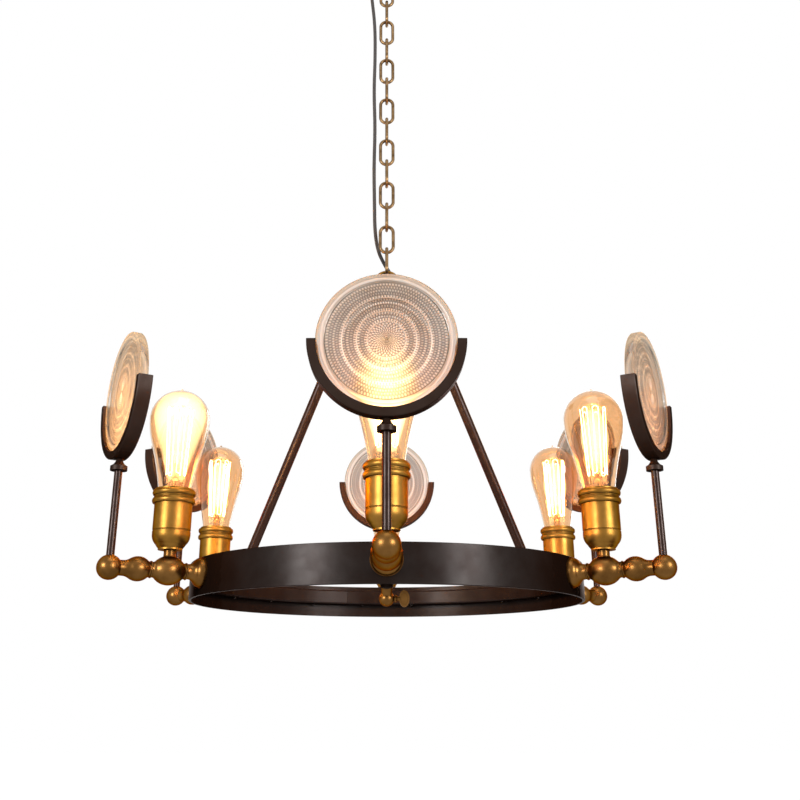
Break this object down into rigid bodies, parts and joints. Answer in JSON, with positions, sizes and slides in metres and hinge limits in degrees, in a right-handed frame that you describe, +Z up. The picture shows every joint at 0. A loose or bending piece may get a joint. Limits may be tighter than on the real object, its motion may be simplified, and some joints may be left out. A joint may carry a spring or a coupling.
{
  "type": "chandelier",
  "caption": "Wheel chandelier on a chain: dark hoop on slanted struts, turned brass arms with upright bulbs, and round pressed-glass lenses in half-ring yokes.",
  "frame": {"origin": "on the ceiling, at the centre of the bracket's upper face", "axes": "+Z up, away from the chandelier into the ceiling; -Y to the front, where the first arm and the turn key are; +X to the right"},
  "size_m": [0.6226, 0.648, 0.9365],
  "materials": {
    "bronze_dark": "dark bronze, satin, faintly brushed",
    "brass_antique": "antique brass, satin, darkened in the grooves",
    "chain_brass": "aged brass, satin",
    "glass_bulb": "clear amber-tinted glass, smooth",
    "glass_lens": "clear pressed glass, ringed and beaded",
    "cap_metal": "plated screw cap, worn",
    "porcelain": "glazed white porcelain",
    "cord_black": "black woven sleeve",
    "plastic_black": "black moulded plastic",
    "steel_zinc": "zinc-plated steel"
  },
  "bodies": {
    "canopy": {"ceiling_bracket": "steel_zinc", "ceiling_canopy": "bronze_dark", "canopy_collar": "brass_antique", "canopy_loop": "brass_antique", "cord_grip": "plastic_black"},
    "top_link": {"chain_top_link": "chain_brass"},
    "chain": {"chain_links": "chain_brass", "supply_cord": "cord_black"},
    "bottom_link": {"chain_bottom_link": "chain_brass"},
    "frame": {"hub_bell": "bronze_dark", "hub_plate": "bronze_dark", "hub_loop": "brass_antique", "strut_front": "bronze_dark", "strut_right": "bronze_dark", "strut_left": "bronze_dark", "ring_band": "bronze_dark", "wiring_channel": "bronze_dark", "channel_screws": "bronze_dark", "switch_body": "brass_antique", "arm_locknuts": "steel_zinc", "holder_rings": "brass_antique", "holder_insulators": "porcelain", "lens_stems": "bronze_dark", "arm_1": "brass_antique", "arm_2": "brass_antique", "arm_3": "brass_antique", "arm_4": "brass_antique", "arm_5": "brass_antique", "arm_6": "brass_antique", "holder_1": "brass_antique", "holder_2": "brass_antique", "holder_3": "brass_antique", "holder_4": "brass_antique", "holder_5": "brass_antique", "holder_6": "brass_antique"},
    "key": {"turn_key": "brass_antique"},
    "bulb_1": {"bulb_cap_1": "cap_metal", "bulb_glass_1": "glass_bulb"},
    "lens_holder_1": {"yoke_1": "bronze_dark", "lens_1": "glass_lens"},
    "bulb_2": {"bulb_cap_2": "cap_metal", "bulb_glass_2": "glass_bulb"},
    "lens_holder_2": {"yoke_2": "bronze_dark", "lens_2": "glass_lens"},
    "bulb_3": {"bulb_cap_3": "cap_metal", "bulb_glass_3": "glass_bulb"},
    "lens_holder_3": {"yoke_3": "bronze_dark", "lens_3": "glass_lens"},
    "bulb_4": {"bulb_cap_4": "cap_metal", "bulb_glass_4": "glass_bulb"},
    "lens_holder_4": {"yoke_4": "bronze_dark", "lens_4": "glass_lens"},
    "bulb_5": {"bulb_cap_5": "cap_metal", "bulb_glass_5": "glass_bulb"},
    "lens_holder_5": {"yoke_5": "bronze_dark", "lens_5": "glass_lens"},
    "bulb_6": {"bulb_cap_6": "cap_metal", "bulb_glass_6": "glass_bulb"},
    "lens_holder_6": {"yoke_6": "bronze_dark", "lens_6": "glass_lens"}
  },
  "joints": [
    {"name": "chain_sway", "type": "hinge", "parent": "canopy", "child": "top_link", "pos_m": [0, 0, -0.0695], "axis": [0, 1, 0], "range_deg": [-18, 18], "deforming": ["supply_cord"]},
    {"name": "chain_swing", "type": "hinge", "parent": "top_link", "child": "chain", "pos_m": [0, 0, -0.1016], "axis": [1, 0, 0], "range_deg": [-18, 18], "deforming": ["supply_cord"]},
    {"name": "frame_swing", "type": "hinge", "parent": "chain", "child": "bottom_link", "pos_m": [0, 0, -0.4856], "axis": [1, 0, 0], "range_deg": [-15, 15], "deforming": ["supply_cord"]},
    {"name": "frame_sway", "type": "hinge", "parent": "bottom_link", "child": "frame", "pos_m": [0, 0, -0.5176], "axis": [0, 1, 0], "range_deg": [-15, 15], "deforming": ["supply_cord"]},
    {"name": "key_turn", "type": "hinge", "parent": "frame", "child": "key", "pos_m": [0, -0.192, -0.929], "axis": [1, 0, 0], "range_deg": [0, 90]},
    {"name": "bulb_lift_1", "type": "slide", "parent": "frame", "child": "bulb_1", "axis": [0, 0, 1], "range_m": [0, 0.03]},
    {"name": "bulb_lift_2", "type": "slide", "parent": "frame", "child": "bulb_2", "axis": [0, 0, 1], "range_m": [0, 0.03]},
    {"name": "bulb_lift_3", "type": "slide", "parent": "frame", "child": "bulb_3", "axis": [0, 0, 1], "range_m": [0, 0.03]},
    {"name": "bulb_lift_4", "type": "slide", "parent": "frame", "child": "bulb_4", "axis": [0, 0, 1], "range_m": [0, 0.03]},
    {"name": "bulb_lift_5", "type": "slide", "parent": "frame", "child": "bulb_5", "axis": [0, 0, 1], "range_m": [0, 0.03]},
    {"name": "bulb_lift_6", "type": "slide", "parent": "frame", "child": "bulb_6", "axis": [0, 0, 1], "range_m": [0, 0.03]},
    {"name": "lens_swivel_1", "type": "hinge", "parent": "frame", "child": "lens_holder_1", "pos_m": [0, -0.3118, -0.7962], "axis": [0, 0, 1], "range_deg": [-40, 40]},
    {"name": "lens_swivel_2", "type": "hinge", "parent": "frame", "child": "lens_holder_2", "pos_m": [0.27003, -0.1559, -0.7962], "axis": [0, 0, 1], "range_deg": [-40, 40]},
    {"name": "lens_swivel_3", "type": "hinge", "parent": "frame", "child": "lens_holder_3", "pos_m": [0.27003, 0.1559, -0.7962], "axis": [0, 0, 1], "range_deg": [-40, 40]},
    {"name": "lens_swivel_4", "type": "hinge", "parent": "frame", "child": "lens_holder_4", "pos_m": [0, 0.3118, -0.7962], "axis": [0, 0, 1], "range_deg": [-40, 40]},
    {"name": "lens_swivel_5", "type": "hinge", "parent": "frame", "child": "lens_holder_5", "pos_m": [-0.27003, 0.1559, -0.7962], "axis": [0, 0, 1], "range_deg": [-40, 40]},
    {"name": "lens_swivel_6", "type": "hinge", "parent": "frame", "child": "lens_holder_6", "pos_m": [-0.27003, -0.1559, -0.7962], "axis": [0, 0, 1], "range_deg": [-40, 40]}
  ]
}
